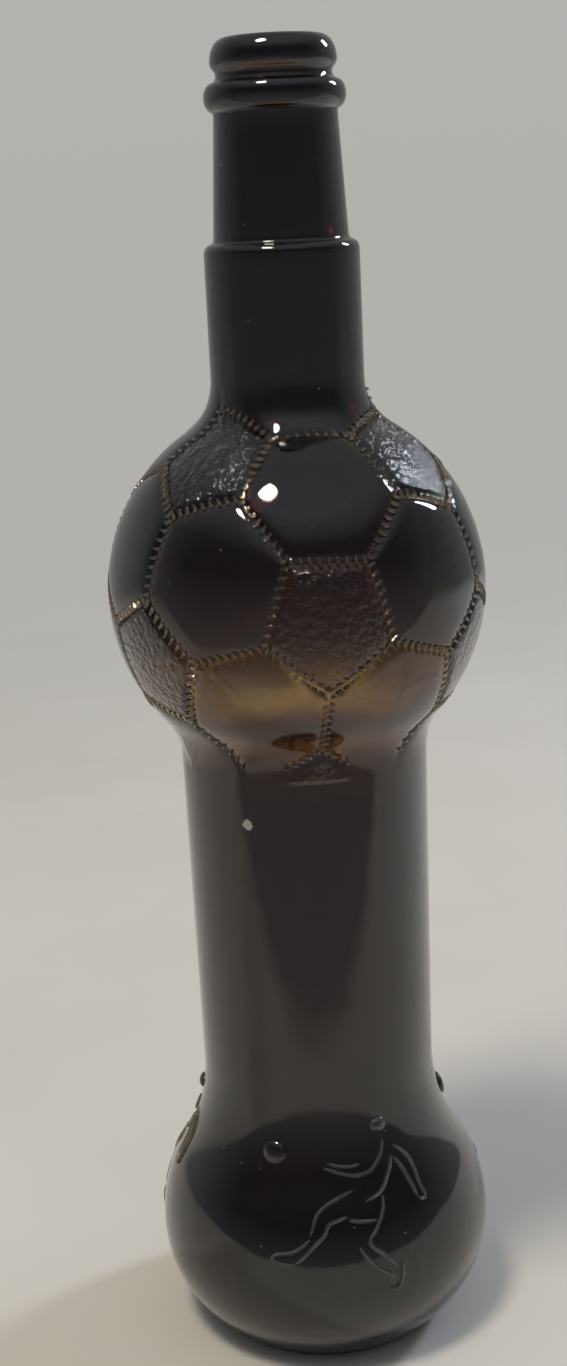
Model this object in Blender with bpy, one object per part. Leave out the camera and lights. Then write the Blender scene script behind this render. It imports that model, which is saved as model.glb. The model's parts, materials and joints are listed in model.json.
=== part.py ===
"""An empty glass bottle: a turned neck and finish, a football body, a waist and a bulbous base.

One piece of mould-blown container glass. Metres, +Z up. The origin is on the bottle's axis, in the
plane that it stands on, with the ball's front panel facing -Y.
"""

import math
from itertools import combinations, permutations

import bmesh
import bpy
from mathutils import Matrix, Vector

MM = 0.001

# The whole bottle
HEIGHT = 320.0 * MM

# Finish: the moulded mouth that a stopper or pourer fits
BORE_RADIUS = 9.3 * MM
LIP_LAND = 1.6 * MM
LIP_CROWN = 3.6 * MM
LIP_RADIUS = BORE_RADIUS + LIP_LAND + LIP_CROWN
LIP_WIDEST_BELOW_TOP = 5.2 * MM
LIP_UNDERCUT = 1.5 * MM
GROOVE_DEPTH = 1.2 * MM
GROOVE_BELOW_TOP = 8.0 * MM
COLLAR_OUT = 2.1 * MM
COLLAR_BELOW_TOP = 12.9 * MM
COLLAR_HALF_HEIGHT = 3.2 * MM

# Neck: a tapering upper length above a step, and a wider straight length below it
UPPER_NECK_TOP_RADIUS = 14.2 * MM
UPPER_NECK_FOOT_RADIUS = 15.7 * MM
STEP_BELOW_TOP = 45.0 * MM
STEP_OUT = 2.45 * MM
STEP_RISE = 0.8 * MM
STEP_ROUND = 2.3 * MM
LOWER_NECK_RADIUS = UPPER_NECK_FOOT_RADIUS + STEP_OUT
NECK_WALL = 4.3 * MM

# Ball: a football of 12 five-sided and 20 six-sided panels
BALL_RADIUS = 46.1 * MM
BALL_BELOW_TOP = 126.5 * MM
BALL_HEIGHT = HEIGHT - BALL_BELOW_TOP
BALL_WALL = 4.0 * MM
BALL_TURN = math.radians(8.6)
BALL_ROLL = math.radians(1.8)
BALL_DRAW = math.radians(2.2)
SEAM_DEPTH = 0.6 * MM
SEAM_WIDTH = 3.0 * MM
SEAM_STEPS = 3
NECK_FILLET = 14.0 * MM
WAIST_FILLET = 15.0 * MM
FILLET_SINK = 0.9 * MM

# Waist: nearly straight, a little wider under the ball
WAIST_TOP_RADIUS = 30.3 * MM
WAIST_FOOT_RADIUS = 29.4 * MM
WAIST_WALL = 4.2 * MM

# Base: a bulb that flares out of the waist and turns in at the heel
BASE_RADIUS = 42.5 * MM
BASE_WIDEST = 26.5 * MM
BASE_SHOULDER_ARC = 38.0 * MM
HEEL_ARC = 31.0 * MM
FLARE_ARC = 45.0 * MM
BASE_WALL = 4.4 * MM
RING_OUTER_RADIUS = 27.4 * MM
RING_WIDTH = 3.0 * MM
RING_BEVEL = 1.3 * MM
PUSH_UP = 6.5 * MM
FLOOR_THICKNESS = 5.6 * MM

# The hollow runs out past the mouth by this much, so that it cuts clean through
MOUTH_CUT = 2.0 * MM

# Inside of the neck: it opens out between these two levels, measured from the step
TAPER_ABOVE_STEP = 3.0 * MM
TAPER_BELOW_STEP = 6.0 * MM

# Facets
OUTER_SIDES = 48
INNER_SIDES = 40
CROWN_STEPS = 4
COLLAR_STEPS = 6
COLLAR_SWEEP = 80.0
STEP_SWEEP = 80.0
STEP_STEPS = 4
OUTER_FILLET_STEPS = (6, 5)
INNER_FILLET_STEPS = 4
INNER_BALL_STEPS = 14
OUTER_BASE_STEPS = (5, 6)
INNER_BASE_STEPS = (4, 4)
DOME_STEPS = 4
DOME_FULLNESS = 0.8
TIDY_DISTANCE = 0.002 * MM

GLASS_COLOUR = (0.020, 0.016, 0.009, 1.0)
GLASS_ROUGHNESS = 0.08
GLASS_IOR = 1.52


def clear_scene():
    for obj in list(bpy.data.objects):
        bpy.data.objects.remove(obj, do_unlink=True)


def glass_material():
    """Dark olive-brown bottle glass."""
    material = bpy.data.materials.new("bottle_glass_dark_olive")
    material.use_nodes = True
    shader = material.node_tree.nodes["Principled BSDF"]
    shader.inputs["Base Color"].default_value = GLASS_COLOUR
    shader.inputs["Roughness"].default_value = GLASS_ROUGHNESS
    shader.inputs["Metallic"].default_value = 0.0
    shader.inputs["IOR"].default_value = GLASS_IOR
    material.diffuse_color = GLASS_COLOUR
    return material


def arc(centre, radius, start, end, steps):
    """Points (r, z) of an arc about centre, from start to end in degrees, both ends kept."""
    points = []
    for i in range(steps + 1):
        angle = math.radians(start + (end - start) * i / steps)
        points.append((centre[0] + radius * math.cos(angle), centre[1] + radius * math.sin(angle)))
    return points


def angle_to(centre, point):
    return math.degrees(math.atan2(point[1] - centre[1], point[0] - centre[0]))


def fillet_centre(stem_radius, fillet, ball_radius, ball_z, up):
    """Centre of the hollow round that runs off a stem and touches the ball, above it or below it."""
    across = stem_radius + fillet
    along = math.sqrt((ball_radius + fillet) ** 2 - across**2)
    return (across, ball_z + up * along)


def arc_join(centre, radius, other, other_radius):
    """Where an arc meets a round that touches it from outside."""
    share = radius / (radius + other_radius)
    return (
        centre[0] + (other[0] - centre[0]) * share,
        centre[1] + (other[1] - centre[1]) * share,
    )


def finish_outline():
    """Lip, groove and collar, from the top land down to the neck."""
    land_edge = BORE_RADIUS + LIP_LAND
    widest_z = HEIGHT - LIP_WIDEST_BELOW_TOP
    collar_z = HEIGHT - COLLAR_BELOW_TOP
    points = []
    for i in range(CROWN_STEPS + 1):
        turn = 0.5 * math.pi * i / CROWN_STEPS
        r = land_edge + LIP_CROWN * math.sin(turn)
        z = widest_z + LIP_WIDEST_BELOW_TOP * math.cos(turn)
        points.append((r, z))
    points.append((LIP_RADIUS - 0.4 * GROOVE_DEPTH, widest_z - LIP_UNDERCUT))
    points.append((LIP_RADIUS - GROOVE_DEPTH, HEIGHT - GROOVE_BELOW_TOP))
    for i in range(COLLAR_STEPS + 1):
        turn = math.radians(COLLAR_SWEEP * (1.0 - 2.0 * i / COLLAR_STEPS))
        r = UPPER_NECK_TOP_RADIUS + COLLAR_OUT * math.cos(turn)
        z = collar_z + COLLAR_HALF_HEIGHT * math.sin(turn)
        points.append((r, z))
    return points


def step_outline():
    """The tapered upper neck's foot, and the rounded step down to the wider neck."""
    step_z = HEIGHT - STEP_BELOW_TOP
    top = (UPPER_NECK_FOOT_RADIUS, step_z + STEP_RISE)
    centre = (LOWER_NECK_RADIUS - STEP_ROUND, step_z - STEP_ROUND)
    return [top] + arc(centre, STEP_ROUND, STEP_SWEEP, 0.0, STEP_STEPS)


def neck_fillet_outline(stem_radius, fillet, ball_radius, steps):
    """The hollow round from the neck out to the ball, top to bottom."""
    centre = fillet_centre(stem_radius, fillet, ball_radius, BALL_HEIGHT, 1.0)
    touch = arc_join((0.0, BALL_HEIGHT), ball_radius, centre, fillet)
    return arc(centre, fillet, 180.0, 360.0 + angle_to(centre, touch), steps)


def waist_fillet_outline(stem_radius, fillet, ball_radius, steps):
    """The hollow round from the ball in to the waist, top to bottom."""
    centre = fillet_centre(stem_radius, fillet, ball_radius, BALL_HEIGHT, -1.0)
    touch = arc_join((0.0, BALL_HEIGHT), ball_radius, centre, fillet)
    return arc(centre, fillet, angle_to(centre, touch), 180.0, steps)


def base_outline(wall, shoulder_steps, heel_steps, heel_bottom):
    """Waist foot, flare and bulb down to the height heel_bottom, on the face `wall` inside the glass."""
    shoulder = (BASE_RADIUS - BASE_SHOULDER_ARC, BASE_WIDEST)
    shoulder_arc = BASE_SHOULDER_ARC - wall
    flare_arc = FLARE_ARC + wall
    flare_r = WAIST_FOOT_RADIUS - wall + flare_arc
    rise = math.sqrt((shoulder_arc + flare_arc) ** 2 - (flare_r - shoulder[0]) ** 2)
    flare = (flare_r, BASE_WIDEST + rise)
    join = arc_join(shoulder, shoulder_arc, flare, flare_arc)
    heel = (BASE_RADIUS - HEEL_ARC, BASE_WIDEST)
    heel_arc = HEEL_ARC - wall
    heel_end = -math.degrees(math.asin((BASE_WIDEST - heel_bottom) / heel_arc))
    points = arc(flare, flare_arc, 180.0, 360.0 + angle_to(flare, join), shoulder_steps)
    points += arc(shoulder, shoulder_arc, angle_to(shoulder, join), 0.0, shoulder_steps)[1:]
    points += arc(heel, heel_arc, 0.0, heel_end, heel_steps)[1:]
    return points


def dome_outline(edge_radius, edge_z, rise, steps):
    """A shallow dome from its edge in to the axis."""
    points = []
    for i in range(steps + 1):
        share = i / steps
        r = edge_radius * (1.0 - share)
        z = edge_z + rise * math.sin(0.5 * math.pi * share) ** DOME_FULLNESS
        points.append((r, z))
    return points


def outer_outline():
    """The outside, from the axis at the top, down and in to the axis underneath."""
    points = [(0.0, HEIGHT)]
    points += finish_outline()
    points += step_outline()
    neck_steps, waist_steps = OUTER_FILLET_STEPS
    sunk_radius = BALL_RADIUS - FILLET_SINK
    points += neck_fillet_outline(LOWER_NECK_RADIUS, NECK_FILLET, sunk_radius, neck_steps)
    points += waist_fillet_outline(WAIST_TOP_RADIUS, WAIST_FILLET, sunk_radius, waist_steps)
    points += base_outline(0.0, *OUTER_BASE_STEPS, RING_BEVEL)
    ring_inner = RING_OUTER_RADIUS - RING_WIDTH
    points += [(RING_OUTER_RADIUS, 0.0), (ring_inner, 0.0)]
    points += dome_outline(ring_inner - RING_BEVEL, RING_BEVEL, PUSH_UP - RING_BEVEL, DOME_STEPS)
    return points


def inner_outline():
    """The hollow, from above the mouth, down and in to the axis at the floor."""
    above = HEIGHT + MOUTH_CUT
    ball_radius = BALL_RADIUS - BALL_WALL
    neck_radius = LOWER_NECK_RADIUS - NECK_WALL
    step_z = HEIGHT - STEP_BELOW_TOP
    collar_z = HEIGHT - COLLAR_BELOW_TOP
    foot_radius = UPPER_NECK_FOOT_RADIUS - NECK_WALL
    points = [(0.0, above), (BORE_RADIUS, above), (BORE_RADIUS, collar_z - COLLAR_HALF_HEIGHT)]
    points += [(foot_radius, step_z + TAPER_ABOVE_STEP), (neck_radius, step_z - TAPER_BELOW_STEP)]
    neck_fillet = NECK_FILLET + NECK_WALL
    points += neck_fillet_outline(neck_radius, neck_fillet, ball_radius, INNER_FILLET_STEPS)
    top_touch = points[-1]
    waist_radius = WAIST_TOP_RADIUS - WAIST_WALL
    waist_fillet = WAIST_FILLET + WAIST_WALL
    waist = waist_fillet_outline(waist_radius, waist_fillet, ball_radius, INNER_FILLET_STEPS)
    centre = (0.0, BALL_HEIGHT)
    first, last = angle_to(centre, top_touch), angle_to(centre, waist[0])
    points += arc(centre, ball_radius, first, last, INNER_BALL_STEPS)[1:-1]
    points += waist
    points += base_outline(BASE_WALL, *INNER_BASE_STEPS, FLOOR_THICKNESS + RING_BEVEL)
    edge_radius = RING_OUTER_RADIUS - RING_WIDTH
    points += dome_outline(edge_radius, FLOOR_THICKNESS, PUSH_UP - RING_BEVEL, DOME_STEPS)
    return points


def lathe(name, outline, sides):
    """Turn an outline of (r, z) points about the axis with a Screw modifier."""
    mesh = bpy.data.meshes.new(name)
    verts = [(r, 0.0, z) for r, z in outline]
    edges = [(i, i + 1) for i in range(len(verts) - 1)]
    mesh.from_pydata(verts, edges, [])
    obj = bpy.data.objects.new(name, mesh)
    bpy.context.scene.collection.objects.link(obj)
    screw = obj.modifiers.new("Turn", "SCREW")
    screw.steps = sides
    screw.render_steps = sides
    screw.use_merge_vertices = True
    screw.merge_threshold = TIDY_DISTANCE
    return obj


def icosahedron_corners():
    """The 12 corners of an icosahedron on the unit sphere."""
    golden = (1.0 + math.sqrt(5.0)) / 2.0
    corners = []
    for a in (-1.0, 1.0):
        for b in (-golden, golden):
            corners += [Vector((0.0, a, b)), Vector((a, b, 0.0)), Vector((b, 0.0, a))]
    return [corner.normalized() for corner in corners]


def football_panels():
    """The 12 five-sided and 20 six-sided panels, each a list of unit corners in order."""
    corners = icosahedron_corners()
    near = 1.2 * min((corners[0] - other).length for other in corners[1:])

    def linked(i, j):
        return i != j and (corners[i] - corners[j]).length < near

    def third(i, j):
        return corners[i].lerp(corners[j], 1.0 / 3.0).normalized()

    numbers = range(len(corners))
    panels = []
    for i in numbers:
        panels.append(in_order(corners[i], [third(i, j) for j in numbers if linked(i, j)]))
    for i, j, k in combinations(numbers, 3):
        if linked(i, j) and linked(j, k) and linked(i, k):
            cut = [third(a, b) for a, b in permutations((i, j, k), 2)]
            panels.append(in_order((corners[i] + corners[j] + corners[k]).normalized(), cut))
    return panels


def in_order(centre, points):
    """Sort points round a centre, counter-clockwise as seen from outside."""
    across = (points[0] - centre * points[0].dot(centre)).normalized()
    up = centre.cross(across)
    return sorted(points, key=lambda point: math.atan2(point.dot(up), point.dot(across)))


def football_turn():
    """Turn the ball so that a five-sided panel, one corner down, faces -Y, then turn and roll it a little."""
    front = icosahedron_corners()[0]
    panel = football_panels()[0]
    down = (panel[0] - front * panel[0].dot(front)).normalized()
    side = front.cross(down)
    as_built = Matrix((front, down, side)).transposed()
    wanted = Matrix(((0.0, -1.0, 0.0), (0.0, 0.0, -1.0), (1.0, 0.0, 0.0))).transposed()
    roll = Matrix.Rotation(BALL_ROLL, 3, "Y")
    return roll @ Matrix.Rotation(BALL_TURN, 3, "Z") @ wanted @ as_built.inverted()


def drawn_out(point):
    """Move a point on the ball a little away from its widest circle, towards the nearer pole."""
    level = math.atan2(point.z, math.hypot(point.x, point.y))
    level += BALL_DRAW * math.sin(2.0 * level)
    around = math.atan2(point.y, point.x)
    flat = point.length * math.cos(level)
    return Vector((flat * math.cos(around), flat * math.sin(around), point.length * math.sin(level)))


def football():
    """The ball as a closed solid, each panel flat along its middle and sunk at its seams."""
    turn = football_turn()
    lift = Vector((0.0, 0.0, BALL_HEIGHT))
    bm = bmesh.new()
    for panel in football_panels():
        centre = sum(panel, Vector()).normalized()
        reach = BALL_RADIUS * (panel[0] + panel[1]).angle(centre)
        inner = 1.0 - 0.5 * SEAM_WIDTH / reach
        rings = [(1.0, BALL_RADIUS - SEAM_DEPTH), (inner, BALL_RADIUS), (0.5 * inner, BALL_RADIUS)]
        loops = []
        for share, radius in rings:
            loop = []
            for i, corner in enumerate(panel):
                following = panel[(i + 1) % len(panel)]
                for step in range(SEAM_STEPS):
                    edge_point = corner.lerp(following, step / SEAM_STEPS).normalized()
                    point = centre.lerp(edge_point, share).normalized() * radius
                    loop.append(bm.verts.new(drawn_out(turn @ point) + lift))
            loops.append(loop)
        middle = bm.verts.new(drawn_out(turn @ centre * BALL_RADIUS) + lift)
        count = len(loops[0])
        for i in range(count):
            j = (i + 1) % count
            for outer, within in zip(loops, loops[1:]):
                bm.faces.new((outer[i], outer[j], within[j], within[i]))
            bm.faces.new((loops[-1][i], loops[-1][j], middle))
    bmesh.ops.remove_doubles(bm, verts=bm.verts, dist=TIDY_DISTANCE)
    mesh = bpy.data.meshes.new("ball_form")
    bm.to_mesh(mesh)
    bm.free()
    obj = bpy.data.objects.new("ball_form", mesh)
    bpy.context.scene.collection.objects.link(obj)
    return obj


def hide_helper(obj):
    obj.hide_render = True
    obj.display_type = "WIRE"


def boolean(obj, helper, operation, name):
    modifier = obj.modifiers.new(name, "BOOLEAN")
    modifier.operation = operation
    modifier.object = helper
    modifier.solver = "EXACT"
    hide_helper(helper)


def glass_bottle():
    """The turned outside, the ball fused to it, and the hollow cut out of both."""
    bottle = lathe("glass_bottle", outer_outline(), OUTER_SIDES)
    boolean(bottle, football(), "UNION", "Ball")
    boolean(bottle, lathe("hollow_form", inner_outline(), INNER_SIDES), "DIFFERENCE", "Hollow")
    bottle.data.materials.append(glass_material())
    return bottle


clear_scene()
glass_bottle()
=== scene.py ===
# %% [markdown]
# # A dark glass bottle with a football body
# The real thing is one piece of olive-brown container glass. A hot bubble of glass is blown into a
# two-part mould, which gives the lip, the stepped neck, the ball with its stitched panels, the waist
# and the round base in a single shot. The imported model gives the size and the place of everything
# here, so the first cell loads it and measures its box.

# %% Load the frame
import json
import math
from itertools import combinations, permutations

import bmesh
import bpy
import numpy as np
from mathutils import Matrix, Vector

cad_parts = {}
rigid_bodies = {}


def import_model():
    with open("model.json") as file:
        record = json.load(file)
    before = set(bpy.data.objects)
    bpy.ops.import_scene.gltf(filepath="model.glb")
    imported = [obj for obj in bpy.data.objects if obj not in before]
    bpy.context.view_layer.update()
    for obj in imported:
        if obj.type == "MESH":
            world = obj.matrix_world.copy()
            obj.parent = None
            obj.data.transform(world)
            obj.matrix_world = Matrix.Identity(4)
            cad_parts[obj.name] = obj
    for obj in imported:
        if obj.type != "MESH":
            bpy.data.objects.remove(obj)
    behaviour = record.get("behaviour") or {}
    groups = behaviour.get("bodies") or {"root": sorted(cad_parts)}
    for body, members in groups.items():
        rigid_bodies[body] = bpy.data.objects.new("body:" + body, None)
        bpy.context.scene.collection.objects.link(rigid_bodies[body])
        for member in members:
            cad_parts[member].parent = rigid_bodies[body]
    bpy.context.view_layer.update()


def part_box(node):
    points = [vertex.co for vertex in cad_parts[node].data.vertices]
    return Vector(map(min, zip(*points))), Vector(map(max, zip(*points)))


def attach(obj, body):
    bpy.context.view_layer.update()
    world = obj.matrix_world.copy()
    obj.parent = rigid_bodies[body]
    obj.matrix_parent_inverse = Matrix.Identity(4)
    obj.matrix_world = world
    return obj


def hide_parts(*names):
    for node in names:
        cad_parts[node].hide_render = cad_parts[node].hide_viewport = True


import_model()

NODE_LOW, NODE_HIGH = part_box("glass_bottle")
MM = 0.001

# %% [markdown]
# ## Camera
# The bottle is seen from close by, with the lens a little below the height of its mouth and tilted
# down, so the mouth is seen from just underneath and the base from well above. The camera is also
# rolled slightly, which leans the bottle to the left. The view is set by a distance, a height, a
# tilt and a roll. The lens length belongs to a 36 mm sensor on the picture's long side.

# %% Camera
CAMERA_DISTANCE = 440.5 * MM
CAMERA_HEIGHT = 283.2 * MM
CAMERA_ASIDE = -4.4 * MM
CAMERA_TILT = math.radians(14.5)
CAMERA_ROLL = math.radians(2.76)
LENS = 48.75
SENSOR = 36.0

def make_camera():
    data = bpy.data.cameras.new("view_camera")
    data.lens = LENS
    data.sensor_width = SENSOR
    data.clip_start = 0.01
    data.clip_end = 20.0
    camera = bpy.data.objects.new("view_camera", data)
    bpy.context.scene.collection.objects.link(camera)
    ahead = Vector((0.0, math.cos(CAMERA_TILT), -math.sin(CAMERA_TILT)))
    level = Vector((1.0, 0.0, 0.0))
    above = level.cross(ahead)
    right = level * math.cos(CAMERA_ROLL) - above * math.sin(CAMERA_ROLL)
    up = level * math.sin(CAMERA_ROLL) + above * math.cos(CAMERA_ROLL)
    turn = Matrix((right, up, -ahead)).transposed()
    place = Matrix.Translation((CAMERA_ASIDE, -CAMERA_DISTANCE, CAMERA_HEIGHT))
    camera.matrix_world = place @ turn.to_4x4()
    bpy.context.scene.camera = camera
    return camera

make_camera()
print("camera", round(CAMERA_DISTANCE / MM), "mm away, lens", LENS, "mm")

# %% [markdown]
# ## Helpers for materials
# Colours are written as hex codes, the way a colour picker shows them, and one function turns them
# into the linear numbers that shaders work in. A second one adds any node, sets its values and links
# its inputs, so each finish below reads as a short list of steps.

# %% Material helpers
def linear(code, alpha=1.0):
    """An sRGB hex colour as linear RGBA."""
    values = [int(code[i:i + 2], 16) / 255.0 for i in (0, 2, 4)]
    curve = [v / 12.92 if v <= 0.04045 else ((v + 0.055) / 1.055) ** 2.4 for v in values]
    return (*curve, alpha)

def add_node(tree, kind, inputs=None, **settings):
    """Add one node, set its properties, and fill or link its inputs."""
    node = tree.nodes.new(kind)
    for name, value in settings.items():
        setattr(node, name, value)
    for name, value in (inputs or {}).items():
        socket = node.inputs[name]
        if isinstance(value, bpy.types.NodeSocket):
            tree.links.new(value, socket)
        else:
            socket.default_value = value
    return node

def new_material(name):
    """An empty material with its output node."""
    material = bpy.data.materials.new(name)
    material.use_nodes = True
    material.node_tree.nodes.clear()
    output = material.node_tree.nodes.new("ShaderNodeOutputMaterial")
    return material, material.node_tree, output

# %% [markdown]
# ## Floor
# A plain pale table top carries the bottle. It is a wide disc with a little mottling, so that its
# reflection in the glass isn't perfectly even. It fades out a short way in front of the bottle, where
# the glass mirrors the darker room instead, and again far behind, so that it has no visible edge.

# %% Floor
FLOOR_RADIUS = 4.0
FADE_FROM = 0.17
FADE_TO = 0.24
FAR_FROM = 0.25
FAR_TO = 1.3
TABLE_DARK = "D9D4C8"
TABLE_LIGHT = "E6E3DC"

def matt_table_paint():
    """Off-white matt paint: a soft surface with hardly any shine."""
    material, tree, output = new_material("matt_table_paint")
    place = add_node(tree, "ShaderNodeTexCoord")
    mottle = add_node(
        tree, "ShaderNodeTexNoise", {"Vector": place.outputs["Object"], "Scale": 9.0, "Detail": 3.0}
    )
    tint = add_node(tree, "ShaderNodeValToRGB", {"Fac": mottle.outputs["Fac"]})
    tint.color_ramp.elements[0].color = linear(TABLE_DARK)
    tint.color_ramp.elements[1].color = linear(TABLE_LIGHT)
    paint = add_node(
        tree, "ShaderNodeBsdfPrincipled", {"Base Color": tint.outputs["Color"], "Roughness": 0.75}
    )
    split = add_node(tree, "ShaderNodeSeparateXYZ", {"Vector": place.outputs["Object"]})
    edge = add_node(
        tree, "ShaderNodeMapRange",
        {"Value": split.outputs["Y"], "From Min": -FADE_TO, "From Max": -FADE_FROM},
        interpolation_type="SMOOTHSTEP",
    )
    far = add_node(
        tree, "ShaderNodeMapRange",
        {"Value": split.outputs["Y"], "From Min": FAR_FROM, "From Max": FAR_TO, "To Min": 1.0, "To Max": 0.0},
        interpolation_type="SMOOTHSTEP",
    )
    kept = add_node(
        tree, "ShaderNodeMath", {0: edge.outputs["Result"], 1: far.outputs["Result"]}, operation="MULTIPLY"
    )
    nothing = add_node(tree, "ShaderNodeBsdfTransparent")
    faded = add_node(
        tree, "ShaderNodeMixShader", {0: kept.outputs["Value"], 1: nothing.outputs[0], 2: paint.outputs[0]}
    )
    tree.links.new(faded.outputs[0], output.inputs["Surface"])
    return material

def make_floor():
    mesh = bpy.data.meshes.new("table_top")
    bm = bmesh.new()
    bmesh.ops.create_circle(bm, cap_ends=True, segments=96, radius=FLOOR_RADIUS)
    bm.to_mesh(mesh)
    bm.free()
    floor = bpy.data.objects.new("table_top", mesh)
    bpy.context.scene.collection.objects.link(floor)
    mesh.materials.append(matt_table_paint())
    return floor

make_floor()

# %% [markdown]
# ## Light
# A round lamp hangs high up in front, a tall window stands low on the right and behind, and the room
# is even and fairly dim. A far lamp in the same direction as the near one evens out the light on the
# table. Glass shows its lights as reflections, so their size and direction matter more than their
# strength.

# %% Lights and room
ROOM_FRONT = ((-1.0, "BAB6AE"), (0.02, "707076"), (0.28, "525456"), (0.52, "565A60"), (0.8, "A4AAB4"))
ROOM_BACK = "90908F"
WALL_FOOT = "B2B1AD"
WALL_TOP = "B3B4B1"

def make_area_light(name, direction, distance, size, size_y, power, colour, aim):
    data = bpy.data.lights.new(name, "AREA")
    data.shape = "DISK" if size == size_y else "RECTANGLE"
    data.size = size
    if data.shape == "RECTANGLE":
        data.size_y = size_y
    data.energy = power
    data.color = linear(colour)[:3]
    light = bpy.data.objects.new(name, data)
    bpy.context.scene.collection.objects.link(light)
    light.location = aim + Vector(direction).normalized() * distance
    light.rotation_mode = "QUATERNION"
    light.rotation_quaternion = (light.location - aim).to_track_quat("Z", "Y")
    return light

def make_sun(name, direction, width, strength, colour):
    """A lamp far away: the same light everywhere on the table, seen in the glass as a disc this wide."""
    data = bpy.data.lights.new(name, "SUN")
    data.angle = width
    data.energy = strength
    data.color = linear(colour)[:3]
    light = bpy.data.objects.new(name, data)
    bpy.context.scene.collection.objects.link(light)
    light.rotation_mode = "QUATERNION"
    light.rotation_quaternion = Vector(direction).to_track_quat("Z", "Y")
    return light

AIM = Vector((0.0, 0.0, 0.2))
LAMP = (-0.25, -0.34, 0.91)
WINDOW = (0.74, 0.46, 0.49)
LAMP_COLOUR = "FFF3E2"
WINDOW_COLOUR = "E2ECFF"
make_sun("far_lamp", LAMP, width=math.radians(13.0), strength=0.36, colour=LAMP_COLOUR)
make_area_light(
    "lamp_above", LAMP, distance=1.5, size=0.31, size_y=0.31, power=8.5, colour=LAMP_COLOUR, aim=AIM
)
make_area_light(
    "window_right", WINDOW, distance=1.6, size=0.2, size_y=0.34, power=9.5, colour=WINDOW_COLOUR, aim=AIM
)

def make_room():
    """Plain pale walls to look at. The glass mirrors a dim side in front and a lighter one behind."""
    world = bpy.data.worlds.new("room")
    bpy.context.scene.world = world
    world.use_nodes = True
    tree = world.node_tree
    tree.nodes.clear()
    output = tree.nodes.new("ShaderNodeOutputWorld")
    place = add_node(tree, "ShaderNodeTexCoord")
    split = add_node(tree, "ShaderNodeSeparateXYZ", {"Vector": place.outputs["Generated"]})

    level = add_node(
        tree, "ShaderNodeMapRange", {"Value": split.outputs["Z"], "From Min": -1.0, "From Max": 1.0}
    )
    front = add_node(tree, "ShaderNodeValToRGB", {"Fac": level.outputs["Result"]})
    stops = front.color_ramp.elements
    while len(stops) < len(ROOM_FRONT):
        stops.new(1.0)
    for stop, (height, code) in zip(stops, ROOM_FRONT):
        stop.position = 0.5 + 0.5 * height
        stop.color = linear(code)
    behind = add_node(
        tree, "ShaderNodeMapRange", {"Value": split.outputs["Y"], "From Min": -0.35, "From Max": 0.45}
    )
    lit = add_node(
        tree, "ShaderNodeMix", {0: behind.outputs["Result"], 6: front.outputs["Color"]}, data_type="RGBA"
    )
    lit.inputs[7].default_value = linear(ROOM_BACK)

    rise = add_node(
        tree, "ShaderNodeMapRange", {"Value": split.outputs["Z"], "From Min": 0.0, "From Max": 0.22}
    )
    wall = add_node(tree, "ShaderNodeMix", {0: rise.outputs["Result"]}, data_type="RGBA")
    wall.inputs[6].default_value = linear(WALL_FOOT)
    wall.inputs[7].default_value = linear(WALL_TOP)

    seen = add_node(tree, "ShaderNodeLightPath")
    colour = add_node(
        tree, "ShaderNodeMix",
        {0: seen.outputs["Is Camera Ray"], 6: lit.outputs[2], 7: wall.outputs[2]},
        data_type="RGBA",
    )
    light = add_node(tree, "ShaderNodeBackground", {"Color": colour.outputs[2], "Strength": 1.0})
    tree.links.new(light.outputs["Background"], output.inputs["Surface"])

make_room()

# %% [markdown]
# ## The bottle's outline
# A turned shape is drawn as one outline and swept about the axis. Its straight and round stretches
# are the same as in the design model: arcs that touch each other, so the glass flows without a crease.
# Every size below is in millimetres.

# %% Sizes of the glass
HEIGHT = NODE_HIGH.z / MM - 0.001
BALL_REACH = min(NODE_HIGH.x, NODE_HIGH.y, -NODE_LOW.x, -NODE_LOW.y) / MM
STITCH_PROUD = 0.3
BALL_RADIUS = BALL_REACH - STITCH_PROUD - 0.03
BALL_Z = HEIGHT - 126.5
BORE = 9.3
LIP_LAND = 1.6
LIP_CROWN = 3.6
LIP_DROP = 5.2
COLLAR_Z = HEIGHT - 12.9
COLLAR_OUT = 2.1
COLLAR_HALF = 3.2
NECK_TOP = 14.2
NECK_FOOT = 15.7
STEP_Z = HEIGHT - 45.0
STEP_ROUND = 2.3
LOWER_NECK = 18.15
NECK_FILLET = 14.0
WAIST_FILLET = 15.0
WAIST_TOP = 30.3
WAIST_FOOT = 29.4
BASE_RADIUS = 42.5
BASE_Z = 26.5
SHOULDER_ARC = 38.0
HEEL_ARC = 31.0
FLARE_ARC = 45.0
RING_RADIUS = 27.4
RING_WIDTH = 3.0
RING_ROUND = 1.3
PUSH_UP = 6.5
FLOOR_GLASS = 5.6

def arc(centre, radius, start, end, step):
    """Points (r, z) along an arc, from start to end in degrees, about step millimetres apart."""
    count = max(2, round(abs(math.radians(end - start)) * radius / step))
    angles = np.radians(np.linspace(start, end, count + 1))
    return [(centre[0] + radius * math.cos(a), centre[1] + radius * math.sin(a)) for a in angles]

def angle_to(centre, point):
    return math.degrees(math.atan2(point[1] - centre[1], point[0] - centre[0]))

def touch(centre, radius, other, other_radius):
    """Where two rounds that touch from outside meet."""
    share = radius / (radius + other_radius)
    return (centre[0] + (other[0] - centre[0]) * share, centre[1] + (other[1] - centre[1]) * share)

def fillet_centre(stem, fillet, ball, up):
    """Centre of the hollow round between a stem and the ball, above or below the ball's middle."""
    across = stem + fillet
    return (across, up * math.sqrt((ball + fillet) ** 2 - across ** 2))

def resample(points, step):
    """The same outline with points at even distances of about step."""
    path = np.array(points, float)
    gaps = np.hypot(*np.diff(path, axis=0).T)
    keep = np.concatenate(([True], gaps > 1e-6))
    path = path[keep]
    length = np.concatenate(([0.0], np.cumsum(np.hypot(*np.diff(path, axis=0).T))))
    count = max(2, round(length[-1] / step))
    along = np.linspace(0.0, length[-1], count + 1)
    return np.column_stack((np.interp(along, length, path[:, 0]), np.interp(along, length, path[:, 1])))

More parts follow.
